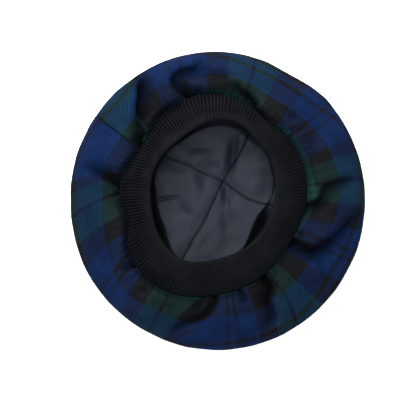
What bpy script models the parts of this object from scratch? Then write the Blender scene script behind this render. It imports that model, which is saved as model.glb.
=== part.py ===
"""A tam o' shanter that lies on its crown, with the head opening up.

Metres, +Z up. The origin is on the ground, under the middle of the rim.
Angles are in degrees, anticlockwise from +X as seen from above.
"""

import math
from collections import namedtuple

import bpy

# The tartan cloth
RIM_RADIUS = 0.140
RIM_HEIGHT = 0.021
RIM_SEAM_HEIGHT = 0.0165
RIM_TUCK = 0.0016
FLAT_RADIUS = 0.108
PUFF_HEIGHT = 0.047
CLOTH_WALL = 0.0015

# The headband
SEAM_RADIUS = 0.0891
SEAM_HEIGHT = 0.038
MOUTH_RADIUS = 0.060
BAND_WIDTH = 0.037
BAND_BULGE = 0.0015
KNIT_WALL = 0.005

# The lining
LINING_FLOOR = 0.006
SATIN_WALL = 0.001

# Sewing
ALLOWANCE = 0.007
SEWN_GAP = 0.0003
SEAM_SETBACK = 0.0006

# Gathers
FOLD_DEPTH = 0.009
FOLD_WIDTH = 0.0045
LOBE_RISE = 0.0025

# How finely the cloth is divided
STRIP_STEP = 3.8
STRIP_CLUSTER = 0.45
CROWN_COLUMNS = 60
CROWN_ROLL_ROWS = 5
BAND_COLUMNS = 80
LINING_COLUMNS = 60

# Rim, headband seam and mouth as shares of RIM_RADIUS, SEAM_RADIUS and MOUTH_RADIUS
Outline = namedtuple("Outline", "angle rim seam mouth")
OUTLINES = (
    Outline(0, 0.993, 0.924, 0.859),
    Outline(30, 0.998, 0.976, 0.942),
    Outline(60, 0.984, 0.979, 1.060),
    Outline(75, 0.994, 1.057, 1.164),
    Outline(90, 1.006, 1.111, 1.178),
    Outline(120, 1.008, 1.068, 1.060),
    Outline(150, 1.003, 0.972, 1.052),
    Outline(165, 1.000, 1.022, 1.049),
    Outline(180, 0.993, 1.019, 0.997),
    Outline(195, 0.996, 0.979, 1.044),
    Outline(210, 1.000, 1.077, 1.117),
    Outline(240, 1.002, 1.101, 1.133),
    Outline(270, 1.006, 0.997, 0.923),
    Outline(300, 1.000, 0.928, 0.857),
    Outline(330, 0.993, 0.877, 0.830),
)

# The strip's section: share of the way from headband to rim, share of the rise from rim to puff
Step = namedtuple("Step", "out rise")
STRIP_PROFILE = (
    Step(0.02, 0.74),
    Step(0.06, 0.90),
    Step(0.14, 0.98),
    Step(0.27, 1.00),
    Step(0.44, 0.90),
    Step(0.62, 0.73),
    Step(0.79, 0.50),
    Step(0.93, 0.23),
    Step(1.00, 0.00),
)

# Each gather's angle at four places on its way out, its depth as a share of FOLD_DEPTH,
# and how far out it reaches as a share of the strip
Fold = namedtuple("Fold", "at_band at_third at_two_thirds at_rim depth reach")
FOLDS = (
    Fold(0.0, 5.0, 8.5, 8.5, 0.60, 1.00),
    Fold(42.0, 45.5, 48.0, 50.0, 0.45, 0.45),
    Fold(64.0, 74.0, 82.0, 86.0, 1.00, 0.75),
    Fold(104.0, 108.5, 102.0, 97.0, 1.00, 1.00),
    Fold(141.6, 133.0, 126.0, 121.5, 1.00, 1.00),
    Fold(174.0, 169.5, 167.0, 165.0, 1.00, 0.85),
    Fold(218.0, 217.5, 216.0, 214.0, 0.60, 0.55),
    Fold(245.0, 245.0, 243.0, 240.0, 0.35, 0.50),
    Fold(269.5, 264.5, 256.0, 252.0, 1.00, 1.00),
    Fold(285.0, 285.0, 283.0, 270.0, 0.50, 0.50),
    Fold(301.5, 299.0, 294.5, 285.0, 1.00, 0.90),
    Fold(332.7, 330.6, 326.5, 322.0, 0.90, 0.70),
    Fold(338.0, 339.5, 347.0, 353.0, 0.60, 0.80),
)

# The lining's section: share of the way from its middle to its edge, share of its rise
LINING_PROFILE = (
    Step(0.20, 0.00),
    Step(0.45, 0.00),
    Step(0.66, 0.02),
    Step(0.79, 0.08),
    Step(0.88, 0.24),
    Step(0.94, 0.52),
    Step(0.98, 0.84),
    Step(1.00, 1.00),
)

# Where the lining's four seams meet and end, as shares of MOUTH_RADIUS
LINING_CENTRE = (0.09, 0.28)
LINING_SEAM_ANGLES = (58.0, 154.0, 243.0, 331.0)
LINING_SEAM_DIP = 0.0018
LINING_SEAM_WIDTH = 0.006

CROWN_COLOUR = (0.016, 0.045, 0.052)
STRIP_COLOUR = (0.018, 0.060, 0.062)
BAND_COLOUR = (0.012, 0.012, 0.013)
LINING_COLOUR = (0.045, 0.052, 0.072)


def clear_scene():
    for thing in list(bpy.data.objects):
        bpy.data.objects.remove(thing, do_unlink=True)


def fabric(name, colour, roughness):
    material = bpy.data.materials.new(name)
    material.use_nodes = True
    shader = material.node_tree.nodes["Principled BSDF"]
    shader.inputs["Base Color"].default_value = (*colour, 1)
    shader.inputs["Roughness"].default_value = roughness
    shader.inputs["Metallic"].default_value = 0
    material.diffuse_color = (*colour, 1)
    return material


def smooth_step(start, end, value):
    share = min(1, max(0, (value - start) / (end - start)))
    return share * share * (3 - 2 * share)


def share_at(angle, column):
    """One column of OUTLINES at any angle, on a smooth closed curve through its rows."""
    count = len(OUTLINES)
    angle %= 360
    here = max(i for i in range(count) if OUTLINES[i].angle <= angle)
    near = [here + step for step in (-1, 0, 1, 2)]
    places = [OUTLINES[i % count].angle + 360 * (i // count) for i in near]
    values = [getattr(OUTLINES[i % count], column) for i in near]
    span = places[2] - places[1]
    start_slope = (values[2] - values[0]) / (places[2] - places[0]) * span
    end_slope = (values[3] - values[1]) / (places[3] - places[1]) * span
    t = (angle - places[1]) / span
    return (
        values[1] * (2 * t**3 - 3 * t**2 + 1)
        + start_slope * (t**3 - 2 * t**2 + t)
        + values[2] * (3 * t**2 - 2 * t**3)
        + end_slope * (t**3 - t**2)
    )


def rim_radius(angle):
    return RIM_RADIUS * share_at(angle, "rim")


def seam_radius(angle):
    return SEAM_RADIUS * share_at(angle, "seam")


def mouth_radius(angle):
    return MOUTH_RADIUS * share_at(angle, "mouth")


def place(radius, angle, height):
    turn = math.radians(angle)
    return (radius * math.cos(turn), radius * math.sin(turn), height)


def ring_mesh(name, rings, centre, around):
    """A mesh through rings of points, closed over a centre point or round to its first ring."""
    count = len(rings[0])
    points = [point for ring in rings for point in ring]
    faces = []
    pairs = list(zip(range(len(rings) - 1), range(1, len(rings))))
    if around:
        pairs.append((len(rings) - 1, 0))
    for inner, outer in pairs:
        for i in range(count):
            after = (i + 1) % count
            near, far = inner * count, outer * count
            faces.append((near + i, far + i, far + after, near + after))
    if centre is not None:
        points.append(centre)
        faces += [(len(points) - 1, i, (i + 1) % count) for i in range(count)]
    mesh = bpy.data.meshes.new(name)
    mesh.from_pydata(points, [], faces)
    mesh.validate()
    mesh.shade_smooth()
    return mesh


def add_piece(name, mesh, material, root, wall=None):
    """An object that carries the mesh. A wall turns an open sheet into cloth of that thickness."""
    piece = bpy.data.objects.new(name, mesh)
    bpy.context.scene.collection.objects.link(piece)
    piece.data.materials.append(material)
    piece.parent = root
    if wall is not None:
        cloth = piece.modifiers.new("wall", "SOLIDIFY")
        cloth.thickness = wall
        cloth.offset = -1
    return piece


def fold_angle(fold, share):
    """A gather's angle at this share of the way out, on a cubic through its four places."""
    t = 3 * share
    return (
        fold.at_band * (1 - t) * (2 - t) * (3 - t) / 6
        + fold.at_third * t * (2 - t) * (3 - t) / 2
        - fold.at_two_thirds * t * (1 - t) * (3 - t) / 2
        + fold.at_rim * t * (1 - t) * (2 - t) / 6
    )


def fold_dip(angle, share, radius):
    """How far the gathers draw the cloth down here."""
    dip = 0
    for fold in FOLDS:
        turn = (angle - fold_angle(fold, share) + 180) % 360 - 180
        away = radius * math.radians(turn) / FOLD_WIDTH
        fade = 1 - smooth_step(0.5 * fold.reach, 1.1 * fold.reach, share)
        dip += fold.depth * fade * math.exp(-away * away)
    return FOLD_DEPTH * min(1, dip) * smooth_step(0, 0.14, share)


def strip_columns():
    """Each column as the gather before it and its share of the way to the next one."""
    columns = []
    for first in range(len(FOLDS)):
        width = (FOLDS[(first + 1) % len(FOLDS)].at_third - FOLDS[first].at_third) % 360
        count = max(4, round(width / STRIP_STEP))
        for i in range(count):
            even = i / count
            between = even - STRIP_CLUSTER * math.sin(2 * math.pi * even) / (2 * math.pi)
            columns.append((first, between))
    return columns


def column_angle(column, share):
    first, between = column
    start = fold_angle(FOLDS[first], share)
    end = fold_angle(FOLDS[(first + 1) % len(FOLDS)], share)
    return start + between * ((end - start) % 360)


def strip_point(column, share, rise):
    angle = column_angle(column, share)
    inner = seam_radius(angle)
    radius = inner + share * (rim_radius(angle) - inner)
    height = RIM_HEIGHT + rise * (PUFF_HEIGHT - RIM_HEIGHT)
    lobe = LOBE_RISE * math.sin(math.pi * column[1]) * rise * (1 - share)
    return place(radius, angle, height + lobe - fold_dip(angle, share, radius))


def strip_rings():
    """From the edge under the headband, over the puffs and round the rim to the crown's seam."""
    columns = strip_columns()
    rings = []
    for back in (ALLOWANCE, 0):
        angles = [column_angle(column, 0) for column in columns]
        rings.append([place(seam_radius(angle) - back, angle, SEAM_HEIGHT) for angle in angles])
    for share, rise in STRIP_PROFILE:
        rings.append([strip_point(column, share, rise) for column in columns])
    angles = [column_angle(column, 1) for column in columns]
    foot = RIM_SEAM_HEIGHT + SEWN_GAP / 2
    for back, height in (
        (0.2 * RIM_TUCK, (RIM_HEIGHT + foot) / 2),
        (RIM_TUCK, foot),
        (RIM_TUCK + ALLOWANCE, foot),
    ):
        rings.append([place(rim_radius(angle) - back, angle, height) for angle in angles])
    return rings


def crown_rings():
    """From the middle out over the flat that it lies on, up the roll and in along the sewn edge."""
    angles = [360 * i / CROWN_COLUMNS for i in range(CROWN_COLUMNS)]
    rings = []
    for radius in (0.5 * FLAT_RADIUS, FLAT_RADIUS):
        rings.append([place(radius, angle, 0) for angle in angles])
    top = RIM_SEAM_HEIGHT - SEWN_GAP / 2
    for row in range(1, CROWN_ROLL_ROWS + 1):
        turn = math.pi / 2 * row / CROWN_ROLL_ROWS
        height = top * (1 - math.cos(turn))
        ring = []
        for angle in angles:
            outer = rim_radius(angle) - RIM_TUCK
            ring.append(place(FLAT_RADIUS + (outer - FLAT_RADIUS) * math.sin(turn), angle, height))
        rings.append(ring)
    back = RIM_TUCK + ALLOWANCE
    rings.append([place(rim_radius(angle) - back, angle, top) for angle in angles])
    return rings


def band_section(angle):
    """The headband's closed outline at one angle. It stands a little higher where it runs in less."""
    half = KNIT_WALL / 2
    foot_radius = seam_radius(angle) - SEAM_SETBACK - half
    crest_radius = mouth_radius(angle) + half
    foot_height = SEAM_HEIGHT + SEWN_GAP + half
    length = BAND_WIDTH - KNIT_WALL
    run = foot_radius - crest_radius
    usual_run = SEAM_RADIUS - MOUTH_RADIUS - SEAM_SETBACK - KNIT_WALL
    middling = (run + 2 * usual_run) / 3
    rise = math.sqrt(max(length**2 - middling**2, (0.3 * length) ** 2))
    lean = math.atan2(rise, -run)
    outward = (math.sin(lean), -math.cos(lean))
    section = []
    for side, end, shares in ((-1, 1, (0, 0.33, 0.67, 1)), (1, -1, (1, 0.67, 0.33, 0))):
        for share in shares:
            bulge = BAND_BULGE * math.sin(math.pi * share) + side * half
            radius = foot_radius - share * run + bulge * outward[0]
            section.append((radius, foot_height + share * rise + bulge * outward[1]))
        section += end_points(section[-1], outward, side * half, end * half)
    return section


def end_points(start, outward, across, forward):
    """The points that round an end of the headband, after the last point of one of its sides."""
    middle = (start[0] - across * outward[0], start[1] - across * outward[1])
    along = (-outward[1], outward[0])
    points = []
    for turn in (math.radians(45), math.radians(90), math.radians(135)):
        side = across * math.cos(turn)
        ahead = forward * math.sin(turn)
        points.append(
            (
                middle[0] + side * outward[0] + ahead * along[0],
                middle[1] + side * outward[1] + ahead * along[1],
            )
        )
    return points


def band_rings():
    angles = [360 * i / BAND_COLUMNS for i in range(BAND_COLUMNS)]
    sections = [band_section(angle) for angle in angles]
    rings = []
    for row in range(len(sections[0])):
        spots = [section[row] for section in sections]
        rings.append([place(radius, angle, height) for angle, (radius, height) in zip(angles, spots)])
    return rings


def lining_seam_dip(x, y):
    """How far the four seams draw the lining down here."""
    across = x - LINING_CENTRE[0] * MOUTH_RADIUS
    up = y - LINING_CENTRE[1] * MOUTH_RADIUS
    nearest = 10 * LINING_SEAM_WIDTH
    for angle in LINING_SEAM_ANGLES:
        turn = math.radians(angle)
        along = across * math.cos(turn) + up * math.sin(turn)
        side = abs(up * math.cos(turn) - across * math.sin(turn))
        nearest = min(nearest, side if along > 0 else math.hypot(across, up))
    return LINING_SEAM_DIP * math.exp(-((nearest / LINING_SEAM_WIDTH) ** 2))


def lining_point(angle, share, rise):
    edge = seam_radius(angle) - ALLOWANCE - SATIN_WALL
    top = SEAM_HEIGHT - CLOTH_WALL - SEWN_GAP
    x, y, _ = place(share * edge, angle, 0)
    dip = lining_seam_dip(x, y) * (1 - rise)
    return (x, y, LINING_FLOOR + rise * (top - LINING_FLOOR) - dip)


def lining_rings():
    """From the middle out over the floor, up the side and out along the edge sewn under the headband."""
    angles = [360 * i / LINING_COLUMNS for i in range(LINING_COLUMNS)]
    rings = []
    for share, rise in LINING_PROFILE:
        rings.append([lining_point(angle, share, rise) for angle in angles])
    top = SEAM_HEIGHT - CLOTH_WALL - SEWN_GAP
    back = SEAM_SETBACK + SATIN_WALL
    rings.append([place(seam_radius(angle) - back, angle, top) for angle in angles])
    return rings


def main():
    clear_scene()
    root = bpy.data.objects.new("tam_o_shanter", None)
    bpy.context.scene.collection.objects.link(root)

    crown = ring_mesh("crown", [ring[::-1] for ring in crown_rings()], (0, 0, 0), False)
    add_piece("crown", crown, fabric("crown_cloth", CROWN_COLOUR, 0.9), root, CLOTH_WALL)

    underside = ring_mesh("underside", strip_rings(), None, False)
    add_piece("underside", underside, fabric("underside_cloth", STRIP_COLOUR, 0.9), root, CLOTH_WALL)

    band = ring_mesh("headband", band_rings(), None, True)
    add_piece("headband", band, fabric("headband_knit", BAND_COLOUR, 0.95), root)

    middle = lining_point(0, 0, 0)
    lining = ring_mesh("lining", lining_rings(), middle, False)
    add_piece("lining", lining, fabric("lining_satin", LINING_COLOUR, 0.4), root, SATIN_WALL)


main()
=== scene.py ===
"""The cloth, knit and satin of a tartan tam o' shanter that lies on its crown, opening up.

Metres, +Z up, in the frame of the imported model. Angles are in degrees, anticlockwise from +X
as seen from above. The strip is the gathered cloth between the headband and the rim.
"""

import math
from collections import namedtuple

import bmesh
import bpy
import numpy as np
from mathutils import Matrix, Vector, noise


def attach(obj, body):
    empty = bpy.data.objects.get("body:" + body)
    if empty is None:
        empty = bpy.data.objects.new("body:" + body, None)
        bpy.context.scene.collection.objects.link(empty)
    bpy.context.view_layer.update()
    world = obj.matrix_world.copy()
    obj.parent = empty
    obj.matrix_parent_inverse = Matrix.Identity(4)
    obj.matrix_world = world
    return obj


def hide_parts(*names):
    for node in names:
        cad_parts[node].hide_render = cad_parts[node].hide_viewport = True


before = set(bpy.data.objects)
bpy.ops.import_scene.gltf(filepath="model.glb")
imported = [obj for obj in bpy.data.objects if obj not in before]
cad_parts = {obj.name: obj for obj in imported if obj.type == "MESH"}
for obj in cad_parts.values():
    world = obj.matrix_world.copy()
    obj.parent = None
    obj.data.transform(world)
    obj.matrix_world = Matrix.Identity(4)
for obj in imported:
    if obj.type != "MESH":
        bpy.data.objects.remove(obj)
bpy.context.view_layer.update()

MM = 0.001

# The sizes that the solids have
RIM_RADIUS = 0.140
RIM_HEIGHT = 0.021
RIM_SEAM_HEIGHT = 0.0165
RIM_TUCK = 0.0016
FLAT_RADIUS = 0.108
SEAM_RADIUS = 0.0891
SEAM_HEIGHT = 0.038
MOUTH_RADIUS = 0.060
BAND_WIDTH = 0.037
BAND_BULGE = 0.0015
KNIT_WALL = 0.005
LINING_FLOOR = 0.006
ALLOWANCE = 0.007
SEAM_SETBACK = 0.0006

# The thickness of the cloths that are shown, and how finely they are divided
CLOTH_WALL = 0.0012
SATIN_WALL = 0.0006
STRIP_COLUMNS = 680
STRIP_ROWS = 70
CROWN_RINGS = 84
LINING_RINGS = 108

# A fold's depth, its tuck and the rise of its edge, for each millimetre of its width
FOLD_DEPTH = 1.9
FOLD_TUCK = 0.6
FOLD_LIP = 0.22

# How far a fold's line is carried on under the headband, and how far from the headband a fold
# has to start to fade in instead
LEAD_IN = 14 * MM
CLEAR_OF_BAND = 9 * MM

# How far the strip rises between its folds
LOBE_RISE = 2.5 * MM

# The ribs round the headband: how far they wander, in ribs, and the angle at which they open
RIBS = 172
RIB_DEPTH = 1.4 * MM
RIB_SWAY = 0.32
RIBS_OPEN_AT = 130

# The headband's mesh: rows on each side and round each edge
COLUMNS_PER_RIB = 8
BAND_SIDE_ROWS = 22
BAND_END_ROWS = 7

# Rim, headband seam and mouth as shares of RIM_RADIUS, SEAM_RADIUS and MOUTH_RADIUS
Outline = namedtuple("Outline", "angle rim seam mouth")
OUTLINES = (
    Outline(0, 0.993, 0.924, 0.859),
    Outline(30, 0.997, 0.976, 0.942),
    Outline(45, 1.001, 0.974, 0.998),
    Outline(60, 0.981, 0.979, 1.060),
    Outline(75, 0.997, 1.057, 1.164),
    Outline(90, 1.006, 1.111, 1.178),
    Outline(120, 1.005, 1.068, 1.060),
    Outline(150, 0.999, 0.972, 1.050),
    Outline(165, 0.996, 1.022, 1.045),
    Outline(180, 0.991, 1.019, 1.022),
    Outline(195, 0.995, 0.979, 1.026),
    Outline(210, 1.000, 1.077, 1.056),
    Outline(240, 1.002, 1.101, 1.078),
    Outline(270, 1.006, 0.997, 0.923),
    Outline(300, 1.000, 0.928, 0.857),
    Outline(330, 0.993, 0.877, 0.830),
)

# How far the strip puffs over the headband, from 0 to 1, and how far out its green stripe ends,
# its black stripe ends and its thin stripes start, as the camera sees them, as shares of RIM_RADIUS
Cloth = namedtuple("Cloth", "angle puff green black tram")
CLOTHS = (
    Cloth(0, 0.00, 0.660, 0.815, 0.963),
    Cloth(15, 0.00, 0.653, 0.822, 0.983),
    Cloth(30, 0.10, 0.667, 0.815, 0.980),
    Cloth(45, 0.40, 0.673, 0.795, 0.914),
    Cloth(60, 0.90, 0.633, 0.778, 0.901),
    Cloth(75, 0.20, 0.710, 0.815, 0.919),
    Cloth(90, 0.15, 0.745, 0.855, 0.976),
    Cloth(105, 0.30, 0.737, 0.859, 1.010),
    Cloth(120, 0.75, 0.697, 0.859, 1.007),
    Cloth(135, 0.80, 0.667, 0.795, 0.946),
    Cloth(150, 1.00, 0.630, 0.781, 0.966),
    Cloth(165, 0.60, 0.667, 0.801, 0.983),
    Cloth(180, 0.40, 0.657, 0.774, 0.976),
    Cloth(195, 1.00, 0.620, 0.788, 0.976),
    Cloth(210, 0.70, 0.694, 0.828, 1.003),
    Cloth(225, 0.60, 0.710, 0.875, 1.017),
    Cloth(240, 0.50, 0.717, 0.848, 1.010),
    Cloth(255, 0.50, 0.690, 0.842, 0.997),
    Cloth(270, 0.50, 0.643, 0.785, 0.960),
    Cloth(285, 0.45, 0.623, 0.786, 0.956),
    Cloth(300, 0.40, 0.604, 0.764, 0.949),
    Cloth(315, 0.40, 0.576, 0.747, 0.924),
    Cloth(330, 0.30, 0.572, 0.751, 0.898),
    Cloth(345, 0.10, 0.606, 0.778, 0.926),
)

# The tartan's stripes, in millimetres of cloth, then the widths and places of its bands
STRIPES = (("blue", 22.6), ("black", 3.9), ("blue", 7.0), ("black", 3.9), ("blue", 22.6),
           ("black", 23.6), ("green", 22.8), ("black", 4.0), ("green", 22.8), ("black", 23.6))
SETT = sum(width for colour, width in STRIPES)
BLUE_WIDTH = 60.0
BLACK_WIDTH = 23.6
GREEN_WIDTH = 49.6
GREEN_START = BLUE_WIDTH + BLACK_WIDTH
GREEN_END = GREEN_START + GREEN_WIDTH
BAND_PLACES = (0, BLUE_WIDTH / 2, BLUE_WIDTH, GREEN_START, GREEN_START + GREEN_WIDTH / 2, GREEN_END)

# Where each repeat's blue and green bands start, have their middle and end, in degrees round
# the strip, which runs on past 360 to its end seam again
Repeat = namedtuple("Repeat", "blue_start blue_middle blue_end green_start green_middle green_end")
REPEATS = (
    Repeat(118.0, 139.0, 166.5, 170.5, 178.5, 190.0),
    Repeat(200.5, 215.0, 225.0, 234.0, 242.7, 254.5),
    Repeat(263.5, 276.3, 288.0, 298.0, 303.6, 314.0),
    Repeat(325.0, 337.0, 347.4, 358.0, 368.3, 379.0),
    Repeat(385.2, 397.7, 411.6, 424.0, 434.5, 445.2),
    Repeat(454.8, 468.0, 481.2, 493.0, 511.0, 529.0),
)

# How much further along the strip its stripes lie, in degrees, where a fold takes up cloth
Drift = namedtuple("Drift", "angle at_band at_rim")
DRIFTS = (
    Drift(0, 0, 0),
    Drift(110, 0, 0),
    Drift(117, 0, 0),
    Drift(124, 0, 8.5),
    Drift(131, -1, 6.0),
    Drift(138, -1, 2.5),
    Drift(145, 0, 0),
    Drift(240, 0, 0),
    Drift(248, 0, 3.0),
    Drift(253, -2, 10.0),
    Drift(262, -5, 6.0),
    Drift(270, -5, 2.0),
    Drift(277, 0, 0),
    Drift(285, 0, 0),
    Drift(294, -1, 4.0),
    Drift(302, -4, 2.0),
    Drift(309, 0, 0),
    Drift(345, 0, 0),
)

# The end seam's angle at the rim and by the headband
END_SEAM_AT_RIM = 145.0
END_SEAM_AT_BAND = 147.8

# Folds of the strip: the side that lies on top as the fold runs outwards, how wide it is in
# millimetres, how strong by the headband and at its end, and the points that it runs through,
# each an angle and a distance from the middle in hundredths of RIM_RADIUS
Fold = namedtuple("Fold", "top width near far path")
FOLDS = (
    Fold("left", 8, 0.75, 0.35, ((358.0, 63.5), (1.4, 69.2), (6.4, 72.2), (8.4, 80.3), (9.3, 88.2),
                                 (7.7, 98.3))),
    Fold("left", 3.4, 0.7, 0.3, ((42.0, 64.6), (43.7, 67.8), (45.5, 70.7))),
    Fold("right", 8, 0.9, 0.4, ((62.0, 64.3), (67.0, 66.7), (68.3, 68.6), (72.8, 72.4),
                                (77.3, 74.7), (81.6, 78.8), (85.5, 84.6))),
    Fold("right", 8, 0.3, 0.3, ((82.0, 84.0), (87.0, 85.6), (93.0, 86.3), (104.0, 86.7),
                                (108.0, 86.0))),
    Fold("left", 10, 0.75, 0.5, ((106.3, 71.4), (110.1, 78.3), (110.4, 85.9), (105.5, 89.6),
                                 (99.9, 90.7), (97.5, 99.7))),
    Fold("left", 4, 0.6, 0.2, ((102.9, 71.9), (100.9, 74.4), (98.5, 78.9))),
    Fold("right", 7.5, 1.1, 0.4, ((142.5, 65.0), (138.3, 66.7), (136.2, 70.8), (134.0, 76.4),
                                  (132.0, 79.5))),
    Fold("left", 10, 0.8, 0.8, ((134.6, 74.7), (131.3, 81.1), (127.0, 87.4), (125.1, 91.4),
                                (121.5, 99.7))),
    Fold("left", 8, 0.9, 0.25, ((175.5, 64.5), (172.2, 69.3), (169.6, 76.8), (168.0, 87.7),
                                (166.5, 95.0))),
    Fold("left", 6, 1.0, 0.3, ((219.6, 69.5), (218.0, 75.5), (216.0, 82.8))),
    Fold("left", 5, 0.6, 0.3, ((262.0, 68.7), (259.7, 73.3), (257.8, 78.5))),
    Fold("left", 7, 0.65, 0.4, ((268.9, 68.6), (265.5, 76.4), (260.5, 82.6), (255.7, 85.9),
                                (252.2, 92.3), (250.0, 99.0))),
    Fold("left", 2.6, 0.6, 0.2, ((279.0, 61.5), (279.5, 64.5))),
    Fold("left", 5, 0.9, 0.3, ((284.8, 63.1), (285.7, 68.2), (285.6, 73.0))),
    Fold("left", 9, 0.85, 0.3, ((302.2, 63.1), (302.2, 68.6), (297.1, 75.1), (296.3, 82.4),
                                (295.3, 88.1), (290.8, 91.4), (285.8, 93.7))),
    Fold("left", 10, 0.8, 0.35, ((332.6, 57.0), (331.7, 62.5), (331.6, 67.5), (333.0, 72.0),
                                 (336.3, 75.6), (340.3, 79.2), (345.4, 83.6), (349.8, 87.2),
                                 (354.5, 91.5), (358.8, 97.5))),
    Fold("left", 6, 0.4, 0.3, ((333.0, 70.0), (331.7, 75.9), (329.7, 82.4), (328.8, 84.8))),
    Fold("left", 3, 0.8, 0.2, ((340.0, 57.9), (338.7, 59.9), (336.5, 64.0))),
)

# Dents in the strip: place as above, width and depth in millimetres
Dent = namedtuple("Dent", "angle out width depth")
DENTS = (
    Dent(26.5, 69.2, 5.0, 2.5),
    Dent(31.5, 73.8, 6.0, 2.5),
    Dent(40.8, 71.4, 3.5, 2.4),
    Dent(48.0, 74.7, 4.0, 2.4),
    Dent(177.5, 68.0, 3.5, 3.6),
    Dent(218.8, 81.5, 2.5, 1.4),
    Dent(230.0, 78.5, 4.0, 3.2),
    Dent(239.5, 80.0, 4.5, 2.6),
    Dent(247.0, 78.0, 5.0, 2.8),
)

# The strip's section: place along it from 0 to 1, share of the way out and height where it
# puffs over the headband, and the same where it lies back. Heights are in millimetres.
Section = namedtuple("Section", "along puffed_out puffed_height gentle_out gentle_height")
SECTIONS = (
    Section(0.00, -0.130, 37.9, -0.130, 37.9),
    Section(0.05, -0.010, 38.0, -0.010, 38.0),
    Section(0.08, -0.014, 39.6, 0.008, 38.8),
    Section(0.12, -0.022, 42.2, 0.030, 40.2),
    Section(0.16, -0.008, 45.0, 0.065, 41.9),
    Section(0.21, 0.050, 47.6, 0.125, 43.6),
    Section(0.28, 0.150, 48.6, 0.210, 44.7),
    Section(0.38, 0.290, 47.6, 0.330, 44.4),
    Section(0.50, 0.460, 44.0, 0.480, 42.3),
    Section(0.62, 0.630, 39.4, 0.635, 38.8),
    Section(0.74, 0.790, 33.6, 0.790, 33.6),
    Section(0.84, 0.920, 27.4, 0.920, 27.4),
    Section(0.90, 0.985, 22.8, 0.985, 22.8),
    Section(0.93, 0.999, 19.4, 0.999, 19.4),
    Section(0.95, 0.975, 16.7, 0.975, 16.7),
    Section(1.00, 0.840, 16.6, 0.840, 16.6),
)

# The lining's section: share of the way from its middle to its edge, share of its rise
Step = namedtuple("Step", "out rise")
LINING_PROFILE = (
    Step(0.00, 0.00),
    Step(0.20, 0.00),
    Step(0.45, 0.00),
    Step(0.66, 0.02),
    Step(0.79, 0.08),
    Step(0.88, 0.24),
    Step(0.94, 0.60),
    Step(0.965, 1.00),
    Step(1.00, 1.00),
)

# The lining's two seams, which cross. They run through these points, in millimetres
SEAM_ACROSS = ((-80.0, 58.0), (-47.7, 41.0), (-25.6, 32.2), (-13.8, 25.9), (5.4, 18.0),
               (14.5, 10.2), (25.3, 3.3), (37.0, -1.5), (48.8, -4.5), (90.0, -12.0))
SEAM_DOWN = ((36.0, 84.0), (29.2, 62.1), (22.4, 47.4), (14.5, 34.7), (9.6, 25.9), (5.4, 18.0),
             (-2.2, 1.4), (-13.8, -22.1), (-24.6, -39.7), (-32.0, -54.4), (-46.0, -80.0))

# Folds in the lining: width, depth and the points that they run through, in millimetres
Crease = namedtuple("Crease", "width depth path")
CREASES = (
    Crease(4.0, 4.4, ((15.6, 62.0), (15.4, 56.7), (13.4, 39.2), (12.4, 32.4), (8.6, 23.7))),
    Crease(3.0, 3.0, ((6.0, 16.0), (7.4, 8.0), (8.6, -4.4))),
    Crease(6.0, 2.4, ((8.2, -2.0), (8.6, -24.0), (7.5, -46.0))),
    Crease(2.4, 1.8, ((8.5, 14.0), (11.5, 8.0), (15.3, 1.4))),
    Crease(1.8, 2.4, ((-60.0, -1.4), (-58.0, -0.6), (-48.7, 1.9), (-38.0, 2.8))),
    Crease(4.0, 1.3, ((-38.0, -8.0), (-24.0, -15.0))),
    Crease(4.5, 1.6, ((-30.3, 50.9), (-9.9, 49.9), (1.8, 47.9))),
    Crease(5.0, 1.6, ((-4.0, 38.0), (-2.2, 32.4), (-1.0, 27.0))),
    Crease(6.0, 1.5, ((-14.5, 26.0), (-13.7, 17.9), (-14.0, 6.0))),
    Crease(5.0, 1.6, ((-18.0, -50.0), (-6.0, -32.0))),
    Crease(7.0, 2.4, ((49.0, 30.0), (48.0, 14.0), (46.0, -2.0))),
)

# Where the lining's billow ends and where the valley beyond it ends, in millimetres, and how
# much of a valley there is, from 0 to 1
Billow = namedtuple("Billow", "angle edge far drop")
BILLOWS = (
    Billow(0, 48.0, 52, 0.15),
    Billow(15, 54.0, 62, 0.25),
    Billow(30, 58.0, 68, 0.20),
    Billow(60, 70.0, 80, 0.15),
    Billow(90, 70.0, 80, 0.15),
    Billow(105, 68.5, 78, 0.35),
    Billow(120, 65.5, 76, 0.60),
    Billow(135, 66.0, 76, 0.60),
    Billow(150, 65.0, 76, 0.70),
    Billow(162, 62.8, 76, 0.90),
    Billow(172, 58.6, 76, 1.00),
    Billow(184, 57.4, 76, 1.00),
    Billow(196, 56.3, 76, 1.00),
    Billow(207, 56.4, 76, 1.00),
    Billow(218, 60.0, 77, 1.00),
    Billow(230, 64.8, 78, 0.80),
    Billow(240, 65.5, 78, 0.60),
    Billow(255, 62.0, 72, 0.40),
    Billow(270, 58.0, 66, 0.30),
    Billow(285, 54.0, 60, 0.20),
    Billow(300, 50.0, 56, 0.40),
    Billow(310, 45.6, 52, 0.90),
    Billow(320, 42.2, 50.0, 1.00),
    Billow(330, 40.8, 49.0, 1.00),
    Billow(340, 41.0, 47.6, 0.90),
    Billow(350, 44.0, 48.0, 0.40),
)

# The billow's height and the valley's depth, both from the plain lining, and the slope's width
BILLOW_HEIGHT = 12 * MM
VALLEY_DEPTH = 3.4 * MM
VALLEY_SLOPE = 3.2 * MM

# Yarn and satin colours, linear
BLUE_YARN = (0.0023, 0.0072, 0.0280)
GREEN_YARN = (0.0034, 0.0130, 0.0125)
BLACK_YARN = (0.0036, 0.0038, 0.0046)
KNIT_YARN = (0.0034, 0.0038, 0.0049)
SATIN = (0.0072, 0.0092, 0.0147)

# A thread's width in millimetres, and the radius at which the twill has its true pitch
THREAD = 0.52
WALE_RADIUS = 120 * MM

# The camera, and how far up it sees a point for each metre of the point's height
CAMERA_DISTANCE = 1.38
CAMERA_TILT = 3
TILT_SHIFT = 0.052

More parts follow.
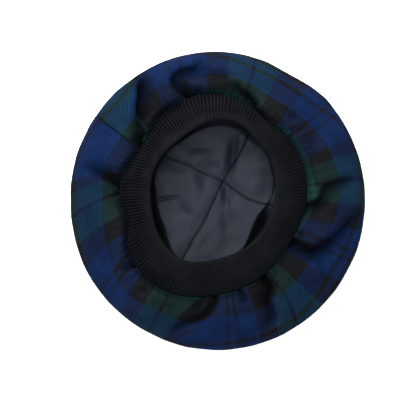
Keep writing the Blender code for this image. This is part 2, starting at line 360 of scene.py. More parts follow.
# How much larger and how far up the camera sees the high cloth by the headband
HIGH_SCALE = 0.016
HIGH_SHIFT = 1.25 * MM

# Millimetres of cloth from the black stripe's outer edge to the thin stripes, and for each
# millimetre beyond the thin stripes' start
TO_TRAM = 24.5
PAST_TRAM = 1.2

# Places along the strip's section where the rim starts and where the tuck under it starts, and
# metres of cloth past the rim's start for the whole of the section
RIM_PLACE = 0.9
TUCK_PLACE = 0.95
PAST_RIM = 0.28

# Small gathers beside the headband
GATHERS = 96
GATHER_DEPTH = 0.5 * MM

# Shares of the crown's radius at which its flat part and its roll end
FLAT_SHARE = 0.76
ROLL_SHARE = 0.95


# Curves and noise, for arrays of places


def smooth_step(start, end, value):
    share = np.clip((value - start) / (end - start), 0, 1)
    return share * share * (3 - 2 * share)


def bell(distance, width):
    return np.exp(-((distance / width) ** 2))


def smooth_curve(places, values, at):
    """A smooth curve through the values at these places, read at other places."""
    slopes = np.gradient(values, places, axis=0)
    here = np.clip(np.searchsorted(places, at, side="right") - 1, 0, len(places) - 2)
    span = (places[here + 1] - places[here]).reshape(-1, *[1] * (values.ndim - 1))
    t = (at - places[here]).reshape(span.shape) / span
    return (
        values[here] * (2 * t**3 - 3 * t**2 + 1)
        + slopes[here] * span * (t**3 - 2 * t**2 + t)
        + values[here + 1] * (3 * t**2 - 2 * t**3)
        + slopes[here + 1] * span * (t**3 - t**2)
    )


def ring(rows, column, size=1.0):
    """One column of a table that runs round the hat, as a function of the angle."""
    angles = np.array([row.angle for row in rows], float)
    values = np.array([getattr(row, column) for row in rows], float)
    angles = np.concatenate((angles - 360, angles, angles + 360))
    degrees = np.linspace(0, 360, 3601)
    curve = size * smooth_curve(angles, np.tile(values, 3), degrees)
    return lambda angle: np.interp(np.mod(angle, 360), degrees, curve)


def profile(rows, column):
    """One column of a table whose first column is a place, as a function of that place."""
    places = np.array([row[0] for row in rows], float)
    values = np.array([getattr(row, column) for row in rows], float)
    steps = np.linspace(places[0], places[-1], 801)
    curve = smooth_curve(places, values, steps)
    return lambda at: np.interp(at, steps, curve)


def smooth_path(points, count):
    """Evenly spaced points of a smooth path through these ones."""
    points = np.array(points, float)
    steps = np.linalg.norm(np.diff(points, axis=0), axis=1)
    places = np.concatenate(([0], np.cumsum(steps)))
    return smooth_curve(places, points, np.linspace(0, places[-1], count))


def beside(line, flat):
    """Where points lie beside a path.

    It gives how far each point is to the left, the share of the way along, the way to the left
    and how far the point is past the path's ends.
    """
    ahead = np.gradient(line, axis=0)
    ahead /= np.linalg.norm(ahead, axis=1)[:, None]
    left = np.stack((-ahead[:, 1], ahead[:, 0]), axis=1)
    far = (flat[:, :1] - line[:, 0]) ** 2 + (flat[:, 1:2] - line[:, 1]) ** 2
    nearest = far.argmin(axis=1)
    gap = flat[:, :2] - line[nearest]
    length = np.linalg.norm(np.diff(line, axis=0), axis=1).sum()
    share = nearest / (len(line) - 1) + (gap * ahead[nearest]).sum(axis=1) / length
    beyond = np.maximum(0, np.abs(share - 0.5) - 0.5) * length
    return (gap * left[nearest]).sum(axis=1), np.clip(share, 0, 1), left[nearest], beyond


def ripple(points, length, seed):
    """Smooth noise from -1 to 1 at each point, with waves about this long."""
    shift = Vector((seed, -seed, 2 * seed))
    return np.array([noise.noise(Vector(point) / length + shift) for point in points])


# The tables as curves


rim_radius = ring(OUTLINES, "rim", RIM_RADIUS)
seam_radius = ring(OUTLINES, "seam", SEAM_RADIUS)
mouth_radius = ring(OUTLINES, "mouth", MOUTH_RADIUS)
puff = ring(CLOTHS, "puff")
green_edge = ring(CLOTHS, "green", RIM_RADIUS)
black_edge = ring(CLOTHS, "black", RIM_RADIUS)
tram_edge = ring(CLOTHS, "tram", RIM_RADIUS)
drift_at_band = ring(DRIFTS, "at_band")
drift_at_rim = ring(DRIFTS, "at_rim")
billow_edge = ring(BILLOWS, "edge", MM)
valley_edge = ring(BILLOWS, "far", MM)
billow_drop = ring(BILLOWS, "drop")
section = {name: profile(SECTIONS, name) for name in Section._fields[1:]}
lining_rise = profile(LINING_PROFILE, "rise")

# The places of REPEATS, each with the length of cloth up to it in millimetres
STATIONS = [
    (place, number * SETT + length)
    for number, repeat in enumerate(REPEATS)
    for place, length in zip(repeat, BAND_PLACES)
]


def at_angle(radius, angle, height):
    turn = np.radians(angle)
    return np.stack((radius * np.cos(turn), radius * np.sin(turn), height + 0 * radius), axis=-1)


# Pieces as sheets of cloth


def new_piece(name, mesh, material, wall=None):
    """The finished mesh as an object. A wall turns the sheet into cloth of that thickness."""
    data = bpy.data.meshes.new(name)
    mesh.to_mesh(data)
    mesh.free()
    data.shade_smooth()
    data.materials.append(material)
    piece = bpy.data.objects.new(name, data)
    bpy.context.scene.collection.objects.link(piece)
    if wall:
        cloth = piece.modifiers.new("cloth", "SOLIDIFY")
        cloth.thickness = wall
        cloth.offset = -1
    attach(piece, "root")
    return piece


def shape_grid(columns, rows, points_at, join=False):
    """A grid of faces whose every corner goes where points_at says.

    points_at takes arrays of places across and along, each from 0 to 1. It gives the points,
    the cloth's own coordinates in millimetres, which become the UV map, and any masks.
    """
    mesh = bmesh.new()
    bmesh.ops.create_grid(mesh, x_segments=columns, y_segments=rows, size=0.5)
    mesh.verts.index_update()
    places = np.array([vert.co for vert in mesh.verts]) + 0.5
    points, cloth, masks = points_at(places[:, 0], places[:, 1])
    for vert, point in zip(mesh.verts, points):
        vert.co = point
    weave_map = mesh.loops.layers.uv.new("weave")
    for face in mesh.faces:
        for loop in face.loops:
            loop[weave_map].uv = cloth[loop.vert.index]
    for name, values in masks.items():
        layer = mesh.verts.layers.float.new(name)
        for vert, value in zip(mesh.verts, values):
            vert[layer] = value
    if join:
        bmesh.ops.remove_doubles(mesh, verts=mesh.verts, dist=1e-6)
    bmesh.ops.recalc_face_normals(mesh, faces=mesh.faces)
    return mesh


# The strip


def plan_place(angle, out):
    """A point of the fold tables in plan.

    The camera sees the high cloth by the headband a little larger and, as it tilts, further up.
    """
    high = min(1, (100 - out) / 33)
    radius = RIM_RADIUS * out / 100 * (1 - HIGH_SCALE * high)
    turn = math.radians(angle)
    return np.array((radius * math.cos(turn), radius * math.sin(turn) - HIGH_SHIFT * high))


def folded(flat, free):
    """How far the folds move each point, in plan and down, a mask of their reach and a mask of
    painted shade.
    """
    aside = np.zeros((len(flat), 2))
    down = np.zeros(len(flat))
    near_fold = np.zeros(len(flat))
    shade = np.zeros(len(flat))
    for fold in FOLDS:
        points = [plan_place(*place) for place in fold.path]
        from_band = np.linalg.norm(points[0]) - seam_radius(fold.path[0][0])
        points.insert(0, points[0] * (1 - LEAD_IN / np.linalg.norm(points[0])))
        line = smooth_path(points, 90)
        offset, share, left, beyond = beside(line, flat)
        side = -1 if fold.top == "left" else 1
        width = fold.width * MM
        strength = fold.near + (fold.far - fold.near) * share
        strength *= free * (1 - smooth_step(0.75, 1.0, share)) * (beyond < width)
        if from_band > CLEAR_OF_BAND:
            strength *= smooth_step(0, 0.4, share)
        # Places across the fold, in widths, from its upper side to its lower side
        place = side * offset / width + 0.34 * strength**2
        # The upper side rolls towards the lower side
        rolled = -np.sin(math.pi * place) * (1 - place**2) * (np.abs(place) < 1)
        aside += (side * FOLD_TUCK * width * strength**2 * rolled)[:, None] * left
        # The lower side drops and climbs back, and the upper side has a lip
        climb = (1 - np.clip((place - 0.45) / 1.7, 0, 1)) ** 2
        down += FOLD_DEPTH * width * strength * smooth_step(-0.7, 0.45, place) * climb
        down -= FOLD_LIP * width * strength * bell(place + 0.8, 0.5)
        near_fold = np.maximum(near_fold, strength * bell(offset, 14 * MM))
        # Painted shade: the cloth's colour is darkened where the upper side covers it
        hidden = smooth_step(-0.7, 0.35, place) * (1 - np.clip((place - 0.6) / 1.3, 0, 1)) ** 1.5
        shade = np.maximum(shade, np.minimum(1, strength * 1.1) * hidden)
    for dent in DENTS:
        away = np.linalg.norm(flat - plan_place(dent.angle, dent.out), axis=1)
        dented = bell(away, dent.width * MM)
        down += free * dent.depth * MM * dented
        # Painted shade in each dent, darker for deeper dents
        shade = np.maximum(shade, 0.09 * dent.depth * dented)
    return aside, down, near_fold, shade


def strip_weave(angle, radius, height, past_rim):
    """The cloth's own coordinates: along the strip, and out from the green stripe's edge.

    High cloth looks larger and further up in the photograph, where the edges are measured.
    """
    above = height - RIM_HEIGHT
    tilted = TILT_SHIFT * above * np.sin(np.radians(angle))
    radius = radius * (1 + above / CAMERA_DISTANCE) + tilted
    places, lengths = zip(*STATIONS)
    share = np.clip((radius - green_edge(angle)) / (rim_radius(angle) - green_edge(angle)), 0, 1)
    drift = drift_at_band(angle) + share * (drift_at_rim(angle) - drift_at_band(angle))
    round_it = np.interp(angle + drift, places, lengths)
    green, black, tram = green_edge(angle), black_edge(angle), tram_edge(angle)
    out = np.where(
        radius < black,
        BLACK_WIDTH * (radius - green) / (black - green),
        BLACK_WIDTH + TO_TRAM * (radius - black) / (tram - black),
    )
    out = np.where(radius < tram, out, BLACK_WIDTH + TO_TRAM + PAST_TRAM * (radius - tram) / MM)
    return np.stack((round_it, out + past_rim / MM), axis=1)


def strip_points(across, place):
    way_out = np.clip(section["puffed_out"](place), 0, 1)
    angle = END_SEAM_AT_BAND + (END_SEAM_AT_RIM - END_SEAM_AT_BAND) * way_out + 360 * across
    puffed = np.clip(puff(angle), 0, 1)
    out = section["gentle_out"](place)
    out += puffed * (section["puffed_out"](place) - out)
    height = section["gentle_height"](place)
    height += puffed * (section["puffed_height"](place) - height)
    inner, outer = seam_radius(angle), rim_radius(angle)
    radius = inner + out * (outer - inner)
    share = np.clip(out, 0, 1)
    flat = at_angle(radius, angle, 0)

    free = smooth_step(0.05, 0.10, place) * (1 - smooth_step(0.82, 0.94, place))
    aside, down, near_fold, shade = folded(flat[:, :2], free)
    outside = place < TUCK_PLACE
    height = height * MM
    unfolded = np.maximum(height, RIM_HEIGHT)
    height = height - down
    height += outside * LOBE_RISE * (1 - near_fold) * (1 - share) * smooth_step(0, 0.1, share)
    soft = 1.3 * ripple(flat, 34 * MM, 3) + 0.6 * ripple(flat, 13 * MM, 7)
    height += free * soft * MM
    gathers = np.sin(np.radians(angle) * GATHERS + 3 * ripple(flat, 30 * MM, 5))
    by_band = smooth_step(0.01, 0.06, share) * (1 - smooth_step(0.08, 0.3, share))
    height += outside * by_band * GATHER_DEPTH * gathers
    radius += outside * 0.5 * MM * ripple(flat, 18 * MM, 11) * smooth_step(0.8, 1, share)
    # The seam that joins the strip's ends is sunk and dark
    from_seam = np.minimum(across, 1 - across) * 2 * math.pi * radius
    height -= outside * 1.1 * MM * bell(from_seam, 1.0 * MM)

    points = at_angle(radius, angle, height)
    points[:, :2] += aside
    past_rim = np.maximum(0, place - RIM_PLACE) * PAST_RIM
    weave_radius = np.where(place > RIM_PLACE, outer, radius)
    shade = np.maximum(shade, 0.7 * bell(from_seam, 0.8 * MM))
    # Painted shade: puffed cloth is darkened beside the headband, and what is tucked under it is
    # painted dark
    shade = np.maximum(shade, 0.5 * puffed * (1 - smooth_step(0.03, 0.16, share)))
    shade = np.maximum(shade, 0.8 * (1 - smooth_step(0.04, 0.09, place)))
    weave = strip_weave(angle, weave_radius, unfolded, past_rim)
    return points, weave, {"painted_shade": shade, "run": np.radians(angle) * WALE_RADIUS / MM}


def make_underside(material):
    mesh = shape_grid(STRIP_COLUMNS, STRIP_ROWS, strip_points, join=True)
    return new_piece("gathered_strip", mesh, material, CLOTH_WALL)


# Round sheets: the crown and the lining


def on_disc(across, place):
    """A square grid's points as angles and shares of the radius, ring by ring."""
    x = 2 * across - 1
    y = 2 * place - 1
    wide = np.abs(x) > np.abs(y)
    long_side = np.where(wide, x, y)
    safe = np.where(long_side == 0, 1, long_side)
    turn = np.where(wide, math.pi / 4 * y / safe, math.pi / 2 - math.pi / 4 * x / safe)
    turn = np.where(long_side < 0, turn + math.pi, turn)
    return np.degrees(turn) % 360, np.abs(long_side)


def crown_points(across, place):
    angle, share = on_disc(across, place)
    outer = rim_radius(angle) - RIM_TUCK
    top = RIM_SEAM_HEIGHT - 0.15 * MM
    # Flat in the middle, then rolled up to the rim, then turned in along the seam
    turn = math.pi / 2 * np.clip((share - FLAT_SHARE) / (ROLL_SHARE - FLAT_SHARE), 0, 1)
    radius = np.where(
        share < FLAT_SHARE,
        FLAT_RADIUS * share / FLAT_SHARE,
        FLAT_RADIUS + (outer - FLAT_RADIUS) * np.sin(turn),
    )
    radius -= np.maximum(0, share - ROLL_SHARE) / (1 - ROLL_SHARE) * ALLOWANCE
    flat = at_angle(radius, angle, 0)
    free = smooth_step(0.8, 0.88, share) * (1 - smooth_step(0.92, 0.95, share))
    radius += free * 0.5 * MM * ripple(flat, 20 * MM, 21)
    points = at_angle(radius, angle, top * (1 - np.cos(turn)))
    # The crown's tartan lies turned and shifted from the strip's
    weave = at_angle(share * 1.06 * RIM_RADIUS / MM, angle + 24, 0)[:, :2] + (30, 11)
    return points, weave, {"painted_shade": 0 * share, "run": weave[:, 0]}


def facing(mesh, up):
    """Turns a sheet's faces over if the ones at its middle don't face this way."""
    middle = min(mesh.faces, key=lambda face: face.calc_center_median().xy.length)
    if (middle.normal.z > 0) != up:
        bmesh.ops.reverse_faces(mesh, faces=mesh.faces)


def make_crown(material):
    mesh = shape_grid(2 * CROWN_RINGS, 2 * CROWN_RINGS, crown_points)
    facing(mesh, up=False)
    return new_piece("tartan_crown", mesh, material, CLOTH_WALL)


def lining_points(across, place):
    angle, share = on_disc(across, place)
    edge = seam_radius(angle) - SEAM_SETBACK - SATIN_WALL
    # The edge hangs a little below the strip
    top = SEAM_HEIGHT - CLOTH_WALL - 0.4 * MM
    radius = share * edge
    flat = at_angle(radius, angle, 0)
    middle = 1 - smooth_step(0.72, 0.9, share)
    height = LINING_FLOOR + np.clip(lining_rise(share), 0, 1) * (top - LINING_FLOOR)

    # A billow in the middle, which drops into a valley beside the headband
    inner, outer = billow_edge(angle), valley_edge(angle)
    drop = np.clip(billow_drop(angle), 0, 1)
    valley = drop * smooth_step(inner - 0.5 * MM, inner + VALLEY_SLOPE, radius)
    beyond = smooth_step(outer - 1 * MM, outer + 7 * MM, radius)
    # Painted shade in the valley beside the headband, fading further out
    dark = drop * smooth_step(inner - 2 * MM, inner + 4.5 * MM, radius)
    dark *= 1 - 0.6 * beyond
    valley *= 1 - 0.85 * beyond
    height += middle * (BILLOW_HEIGHT - valley * (BILLOW_HEIGHT + VALLEY_DEPTH))

    # Wrinkles, the seams and the folds
    relief = 2.4 * ripple(flat, 36 * MM, 31) + 1.7 * ripple(flat, 16 * MM, 37)
    seams = [beside(smooth_path(seam, 160), flat / MM)[0] for seam in (SEAM_ACROSS, SEAM_DOWN)]
    for away in seams:
        relief -= 1.0 * bell(away, 1.1) + 1.2 * bell(away, 7)
    creased = np.zeros(len(share))
    for crease in CREASES:
        away, way, _, past_end = beside(smooth_path(crease.path, 60), flat / MM)
        ends = np.sin(math.pi * (0.06 + 0.88 * way))
        amount = ends * bell(away, crease.width) * bell(past_end, crease.width)
        relief -= crease.depth * amount
        # Painted shade along the deeper creases
        creased = np.maximum(creased, 0.6 * (crease.depth / 5) ** 2 * amount)
    height += relief * MM * middle * (1 - 0.8 * valley)
    # The last mask is painted shade in the valley and along the creases
    masks = {
        "seam_across": seams[0],
        "seam_down": seams[1],
        "painted_shade": np.maximum(dark, middle * creased),
    }
    return at_angle(radius, angle, height), flat[:, :2] / MM, masks


def make_lining(material):
    mesh = shape_grid(2 * LINING_RINGS, 2 * LINING_RINGS, lining_points)
    facing(mesh, up=True)
    return new_piece("satin_lining", mesh, material, SATIN_WALL)


# The headband


def band_place(angle, place):
    """Points of the headband's section: radius, height, the way out of the knit, how far up."""
    half = KNIT_WALL / 2
    foot_radius = seam_radius(angle) - SEAM_SETBACK - half
    crest_radius = mouth_radius(angle) + half
    foot_height = SEAM_HEIGHT + 0.3 * MM + half
    length = BAND_WIDTH - KNIT_WALL
    run = foot_radius - crest_radius
    usual_run = SEAM_RADIUS - MOUTH_RADIUS - SEAM_SETBACK - KNIT_WALL
    middling = (run + 2 * usual_run) / 3
    rise = np.sqrt(np.maximum(length**2 - middling**2, (0.3 * length) ** 2))
    lean = np.arctan2(rise, -run)
    # Up the outside, over the crest, down the inside and round the foot
    crest = BAND_SIDE_ROWS + BAND_END_ROWS
    row = place * 2 * crest
    corners = (0, BAND_SIDE_ROWS, crest, crest + BAND_SIDE_ROWS, 2 * crest)
    share = np.interp(row, corners, (0, 1, 1, 0, 0))
    turn = np.radians(np.interp(row, corners, (0, 0, 180, 180, 360)))
    out = np.cos(turn) * np.sin(lean) + np.sin(turn) * np.cos(lean)
    up = -np.cos(turn) * np.cos(lean) + np.sin(turn) * np.sin(lean)
    bulge = BAND_BULGE * np.sin(math.pi * share)
    radius = foot_radius - share * run + bulge * np.sin(lean)
    height = foot_height + share * rise - bulge * np.cos(lean)
    return radius, height, out, up, share


def band_points(across, place):
    angle = 360 * across
    radius, height, out, up, share = band_place(angle, place)
    points = at_angle(radius, angle, height)
    # Ribs that wander a little as they climb
    sway = RIB_SWAY * ripple(at_angle(0.07 + 0 * angle, angle, 0.5 * height), 9 * MM, 41)
    wave = 0.5 + 0.5 * np.cos(2 * math.pi * (across * RIBS + sway))
    # They fade towards the crest, stay shallow inside it and open widest on one side
    fade = np.where(place < 0.5, 1 - 0.6 * smooth_step(0.6, 1, share), 0.4)
    fade *= 0.7 + 0.45 * np.cos(np.radians(angle - RIBS_OPEN_AT))
    fade *= 0.85 + 0.5 * ripple(points, 12 * MM, 43)
    depth = fade * RIB_DEPTH
    thick = KNIT_WALL / 2 - depth * (1 - wave**0.8) + 0.35 * MM * ripple(points, 22 * MM, 47)
    radius = radius + thick * out
    height = height + thick * up
    weave = np.stack((across * RIBS, place * 2 * BAND_WIDTH / MM), axis=1)
    # Painted shade in the grooves between the ribs, where the ribs are deep
    masks = {"groove": np.clip(fade, 0, 1) * (1 - wave)}
    return at_angle(radius, angle, height), weave, masks


def make_headband(material):
    rows = 2 * (BAND_SIDE_ROWS + BAND_END_ROWS)
    mesh = shape_grid(RIBS * COLUMNS_PER_RIB, rows, band_points, join=True)
    return new_piece("ribbed_headband", mesh, material)


# Materials


class Nodes:
    """Places and links a node tree's nodes, a plain value or another node's socket at a time."""

    def __init__(self, tree):
        self.tree = tree

    def add(self, kind, inputs=None, **settings):
        node = self.tree.nodes.new(kind)
        for name, value in settings.items():
            setattr(node, name, value)
        for name, value in (inputs or {}).items():
            self.feed(node.inputs[name], value)
        return node

    def feed(self, socket, value):
        if isinstance(value, bpy.types.NodeSocket):
            self.tree.links.new(value, socket)
        else:
            socket.default_value = value

    def group(self, tree, inputs):
        return self.add("ShaderNodeGroup", inputs, node_tree=tree)

    def maths(self, what, first, second=0.0, third=0.0):
        node = self.add("ShaderNodeMath", {0: first, 1: second, 2: third}, operation=what)
        return node.outputs[0]

    def mix(self, factor, first, second):
        node = self.add("ShaderNodeMix", {"Factor": factor}, data_type="RGBA")
        self.feed(node.inputs["A"], first)
        self.feed(node.inputs["B"], second)
        return node.outputs["Result"]

    def dimmed(self, colour, light):
        inputs = {0: colour, "Scale": light}
        return self.add("ShaderNodeVectorMath", inputs, operation="SCALE").outputs[0]

    def mask(self, name):
        return self.add("ShaderNodeAttribute", attribute_name=name).outputs["Fac"]

    def noise(self, vector, size, detail=2.0):
        inputs = {"Vector": vector, "Scale": size, "Detail": detail}
        return self.add("ShaderNodeTexNoise", inputs).outputs["Fac"]


def rgba(colour):
    return (*colour, 1.0)


def new_group(name, inputs, outputs):
    group = bpy.data.node_groups.new(name, "ShaderNodeTree")
    for label, kind in inputs:
        group.interface.new_socket(name=label, in_out="INPUT", socket_type=kind)
    for label, kind in outputs:
        group.interface.new_socket(name=label, in_out="OUTPUT", socket_type=kind)
    nodes = Nodes(group)
    return group, nodes, nodes.add("NodeGroupInput"), nodes.add("NodeGroupOutput")


def tartan_group():
    """Yarn colours and relief of a 2/2 twill, with painted light and shade along its ridges, from
    the cloth's coordinates in millimetres.
    """
    group, nodes, given, result = new_group(
        "tartan twill",
        (("Weave", "NodeSocketVector"), ("Run", "NodeSocketFloat")),
        (("Colour", "NodeSocketColor"), ("Relief", "NodeSocketFloat")),
    )
    parts = nodes.add("ShaderNodeSeparateXYZ", {0: given.outputs["Weave"]})
    colours = {"blue": BLUE_YARN, "green": GREEN_YARN, "black": BLACK_YARN}
    yarns = []
    for axis, start in (("X", 0.0), ("Y", GREEN_END)):
        shifted = nodes.maths("ADD", parts.outputs[axis], start)
        share = nodes.maths("FRACT", nodes.maths("DIVIDE", shifted, SETT))
        ramp = nodes.add("ShaderNodeValToRGB", {"Fac": share})
        ramp.color_ramp.interpolation = "CONSTANT"
        place = 0
        stops = ramp.color_ramp.elements
        for number, (colour, width) in enumerate(STRIPES):
            stop = stops[number] if number < 2 else stops.new(place / SETT)
            stop.position = place / SETT
            stop.color = rgba(colours[colour])
            place += width
        yarns.append(ramp.outputs["Color"])
    threads = nodes.maths("ADD", given.outputs["Run"], parts.outputs["Y"])
    wale = nodes.maths("FRACT", nodes.maths("DIVIDE", threads, 4 * THREAD))
    up = nodes.maths("PINGPONG", nodes.maths("MULTIPLY", wale, 2.0), 1.0)
    over = nodes.add("ShaderNodeMapRange", {"Value": up, "From Min": 0.2, "From Max": 0.66})
    colour = nodes.mix(over.outputs[0], yarns[0], yarns[1])
    ridge = nodes.maths("SINE", nodes.maths("MULTIPLY", wale, 2 * math.pi))
    # Patches where the twill shows less
    patches = nodes.noise(given.outputs["Weave"], 0.09, 3.0)
    ridge = nodes.maths("MULTIPLY", ridge, nodes.maths("MULTIPLY_ADD", patches, 1.5, -0.25))
    relief = nodes.maths("MULTIPLY_ADD", ridge, 0.5, 0.5)
    # Painted light and shade: the colour is lifted on the twill's ridges and dimmed between them
    shade = nodes.maths("MULTIPLY_ADD", relief, 1.7, 0.12)
    nodes.feed(result.inputs["Colour"], nodes.dimmed(colour, shade))
    nodes.feed(result.inputs["Relief"], relief)
    return group


def wear_and_shade_group():
    """Uneven dye and lint on a fibre surface, darkened by painted shade where its shade mask is
    high.
    """
    group, nodes, given, result = new_group(
        "dye, lint and painted shade",
        (("Colour", "NodeSocketColor"), ("Place", "NodeSocketVector"),
         ("Amount", "NodeSocketFloat"), ("Fibre", "NodeSocketFloat"),
         ("Painted Shade", "NodeSocketFloat")),
        (("Colour", "NodeSocketColor"), ("Fuzz", "NodeSocketFloat")),
    )
    place = given.outputs["Place"]
    patches = nodes.noise(place, 35.0, 3.0)
    specks = nodes.noise(place, given.outputs["Fibre"], 3.0)
    both = nodes.maths("MULTIPLY_ADD", patches, 0.4, nodes.maths("MULTIPLY", specks, 0.6))
    swing = nodes.maths("SUBTRACT", both, 0.5)
    value = nodes.maths("MULTIPLY_ADD", swing, given.outputs["Amount"], 1.0)
    # Painted shade: the colour darkens as the shade mask rises
    value = nodes.maths("MULTIPLY", value, nodes.maths("SUBTRACT", 1.0, given.outputs["Painted Shade"]))
    nodes.feed(result.inputs["Colour"], nodes.dimmed(given.outputs["Colour"], value))
    nodes.feed(result.inputs["Fuzz"], specks)
    return group


def new_material(name):
    material = bpy.data.materials.new(name)
    material.use_nodes = True
    nodes = Nodes(material.node_tree)
    shader = material.node_tree.nodes["Principled BSDF"]
    return material, nodes, shader


def set_constants(shader, **values):
    for name, value in values.items():
        shader.inputs[name.replace("_", " ")].default_value = value


def tartan_material(name, tartan, wear_and_shade):
    material, nodes, shader = new_material(name)
    weave = nodes.add("ShaderNodeUVMap", uv_map="weave").outputs[0]
    place = nodes.add("ShaderNodeTexCoord").outputs["Object"]
    cloth = nodes.group(tartan, {"Weave": weave, "Run": nodes.mask("run")})
    # The shade mask paints shade into the colour: in the strip's folds and dents and beside its
    # headband, nowhere on the crown
    worn_and_shaded = nodes.group(wear_and_shade, {
        "Colour": cloth.outputs["Colour"], "Place": place, "Amount": 2.8, "Fibre": 800.0,
        "Painted Shade": nodes.maths("MULTIPLY", nodes.mask("painted_shade"), 0.93),
    })
    nodes.feed(shader.inputs["Base Color"], worn_and_shaded.outputs["Colour"])
    height = nodes.maths("MULTIPLY_ADD", worn_and_shaded.outputs["Fuzz"], 0.6, cloth.outputs["Relief"])
    bump = nodes.add("ShaderNodeBump", {"Height": height, "Strength": 0.8, "Distance": 0.0006})
    nodes.feed(shader.inputs["Normal"], bump.outputs[0])
    set_constants(shader, Roughness=0.85, Metallic=0.0, Specular_IOR_Level=0.012, Sheen_Weight=0.01,
                  Sheen_Roughness=0.2, Sheen_Tint=(0.55, 0.75, 1.0, 1.0))
    return material


def knit_material(wear_and_shade):
    material, nodes, shader = new_material("black rib knit")
    weave = nodes.add("ShaderNodeUVMap", uv_map="weave").outputs[0]
    place = nodes.add("ShaderNodeTexCoord").outputs["Object"]
    parts = nodes.add("ShaderNodeSeparateXYZ", {0: weave})
    # Stitches: each rib's loops lean in from both sides, as a row of V shapes
    lean = nodes.maths("PINGPONG", nodes.maths("MULTIPLY", parts.outputs["X"], 2.0), 1.0)
    rows = nodes.maths("ADD", nodes.maths("DIVIDE", parts.outputs["Y"], 1.5), lean)
    loop = nodes.maths("SINE", nodes.maths("MULTIPLY", rows, 2 * math.pi))
    # The groove mask paints shade into the grooves between the ribs
    worn_and_shaded = nodes.group(wear_and_shade, {
        "Colour": rgba(KNIT_YARN), "Place": place, "Amount": 3.0, "Fibre": 700.0,
        "Painted Shade": nodes.maths("MULTIPLY", nodes.mask("groove"), 0.85),
    })
    nodes.feed(shader.inputs["Base Color"], worn_and_shaded.outputs["Colour"])
    stitches = nodes.maths("MULTIPLY", loop, 0.5)
    height = nodes.maths("MULTIPLY_ADD", worn_and_shaded.outputs["Fuzz"], 0.8, stitches)
    bump = nodes.add("ShaderNodeBump", {"Height": height, "Strength": 0.5, "Distance": 0.0003})
    nodes.feed(shader.inputs["Normal"], bump.outputs[0])
    set_constants(shader, Roughness=0.9, Metallic=0.0, Specular_IOR_Level=0.012, Sheen_Weight=0.006,
                  Sheen_Roughness=0.4, Sheen_Tint=(1.0, 0.95, 0.9, 1.0))
    return material


def satin_material(wear_and_shade):
    material, nodes, shader = new_material("grey satin")
    weave = nodes.add("ShaderNodeUVMap", uv_map="weave").outputs[0]
    place = nodes.add("ShaderNodeTexCoord").outputs["Object"]
    # The lining's shade mask paints shade into the colour and makes the cloth rougher there
    painted_shade = nodes.mask("painted_shade")
    worn_and_shaded = nodes.group(wear_and_shade, {
        "Colour": rgba(SATIN), "Place": place, "Amount": 0.25, "Fibre": 400.0,
        "Painted Shade": nodes.maths("MULTIPLY", painted_shade, 0.93),
    })
    # Each seam is a narrow dark groove
    light = 1.0
    for seam in ("seam_across", "seam_down"):
        away = nodes.maths("ABSOLUTE", nodes.mask(seam))
        open_cloth = nodes.add(
            "ShaderNodeMapRange",
            {"Value": away, "From Min": 0.3, "From Max": 1.0, "To Min": 0.12, "To Max": 1.0},
            interpolation_type="SMOOTHSTEP",
        )
        light = nodes.maths("MULTIPLY", light, open_cloth.outputs[0])
    nodes.feed(shader.inputs["Base Color"], nodes.dimmed(worn_and_shaded.outputs["Colour"], light))
    nodes.feed(shader.inputs["Roughness"], nodes.maths("MULTIPLY_ADD", painted_shade, 0.4, 0.5))
    stretched = nodes.add("ShaderNodeMapping", {"Vector": weave, "Scale": (3.0, 0.4, 1.0)})
    threads = nodes.noise(stretched.outputs[0], 2.0, 2.0)
    height = nodes.maths("MULTIPLY_ADD", worn_and_shaded.outputs["Fuzz"], 0.5, threads)
    bump = nodes.add("ShaderNodeBump", {"Height": height, "Strength": 0.2, "Distance": 0.0002})
    nodes.feed(shader.inputs["Normal"], bump.outputs[0])
    set_constants(shader, Metallic=0.0, Specular_IOR_Level=0.05, Sheen_Weight=0.01,
                  Sheen_Roughness=0.3)
    return material


# Light, floor and camera


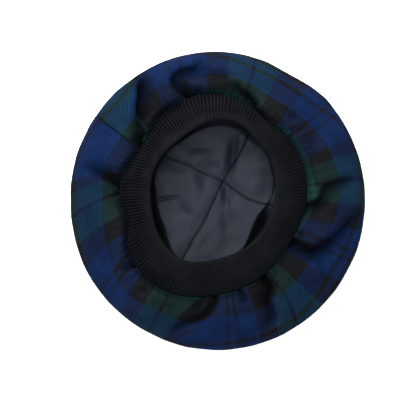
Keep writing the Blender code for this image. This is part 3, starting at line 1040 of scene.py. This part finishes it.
def make_floor():
    mesh = bmesh.new()
    bmesh.ops.create_grid(mesh, x_segments=1, y_segments=1, size=3.0)
    data = bpy.data.meshes.new("white_table")
    mesh.to_mesh(data)
    mesh.free()
    material, _, shader = new_material("white paper")
    set_constants(shader, Base_Color=(0.9, 0.9, 0.9, 1.0), Roughness=0.95, Specular_IOR_Level=0.0,
                  Emission_Color=(1.0, 1.0, 1.0, 1.0), Emission_Strength=0.2)
    data.materials.append(material)
    floor = bpy.data.objects.new("white_table", data)
    # A little below the crown, so that no two faces share a plane
    floor.location.z = -0.2 * MM
    bpy.context.scene.collection.objects.link(floor)


def make_light(name, place, size, power):
    data = bpy.data.lights.new(name, "AREA")
    data.shape = "DISK"
    data.size = size
    data.energy = power
    light = bpy.data.objects.new(name, data)
    light.location = place
    aim = Vector((0, 0, 0.03)) - Vector(place)
    light.rotation_euler = aim.to_track_quat("-Z", "Y").to_euler()
    bpy.context.scene.collection.objects.link(light)


def make_world():
    world = bpy.data.worlds.new("white studio")
    world.use_nodes = True
    background = world.node_tree.nodes["Background"]
    background.inputs["Color"].default_value = (0.95, 0.97, 1.0, 1.0)
    background.inputs["Strength"].default_value = 0.55
    bpy.context.scene.world = world


def make_camera():
    data = bpy.data.cameras.new("camera")
    data.lens = 132.05
    data.sensor_width = 36
    camera = bpy.data.objects.new("camera", data)
    aim = Vector((-0.0166, 0.0, 0.021))
    tilt = math.radians(CAMERA_TILT)
    camera.location = aim + CAMERA_DISTANCE * Vector((0, -math.sin(tilt), math.cos(tilt)))
    camera.rotation_euler = (tilt, 0, 0)
    bpy.context.scene.collection.objects.link(camera)
    bpy.context.scene.camera = camera


def main():
    tartan = tartan_group()
    wear_and_shade = wear_and_shade_group()

    underside = make_underside(tartan_material("tartan strip cloth", tartan, wear_and_shade))
    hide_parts("underside")

    crown = make_crown(tartan_material("tartan crown cloth", tartan, wear_and_shade))
    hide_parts("crown")

    headband = make_headband(knit_material(wear_and_shade))
    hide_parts("headband")

    lining = make_lining(satin_material(wear_and_shade))
    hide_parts("lining")

    make_floor()
    make_light("key softbox", (-0.35, 0.85, 1.2), 0.7, 34)
    make_light("top softbox", (-0.1, 0.1, 1.6), 1.0, 37)
    make_light("front softbox", (0.0, -0.8, 1.3), 0.7, 10)
    make_light("rim softbox", (-0.35, 1.3, 0.4), 0.6, 18)
    make_world()
    make_camera()
    bpy.context.scene.view_settings.view_transform = "Standard"


main()
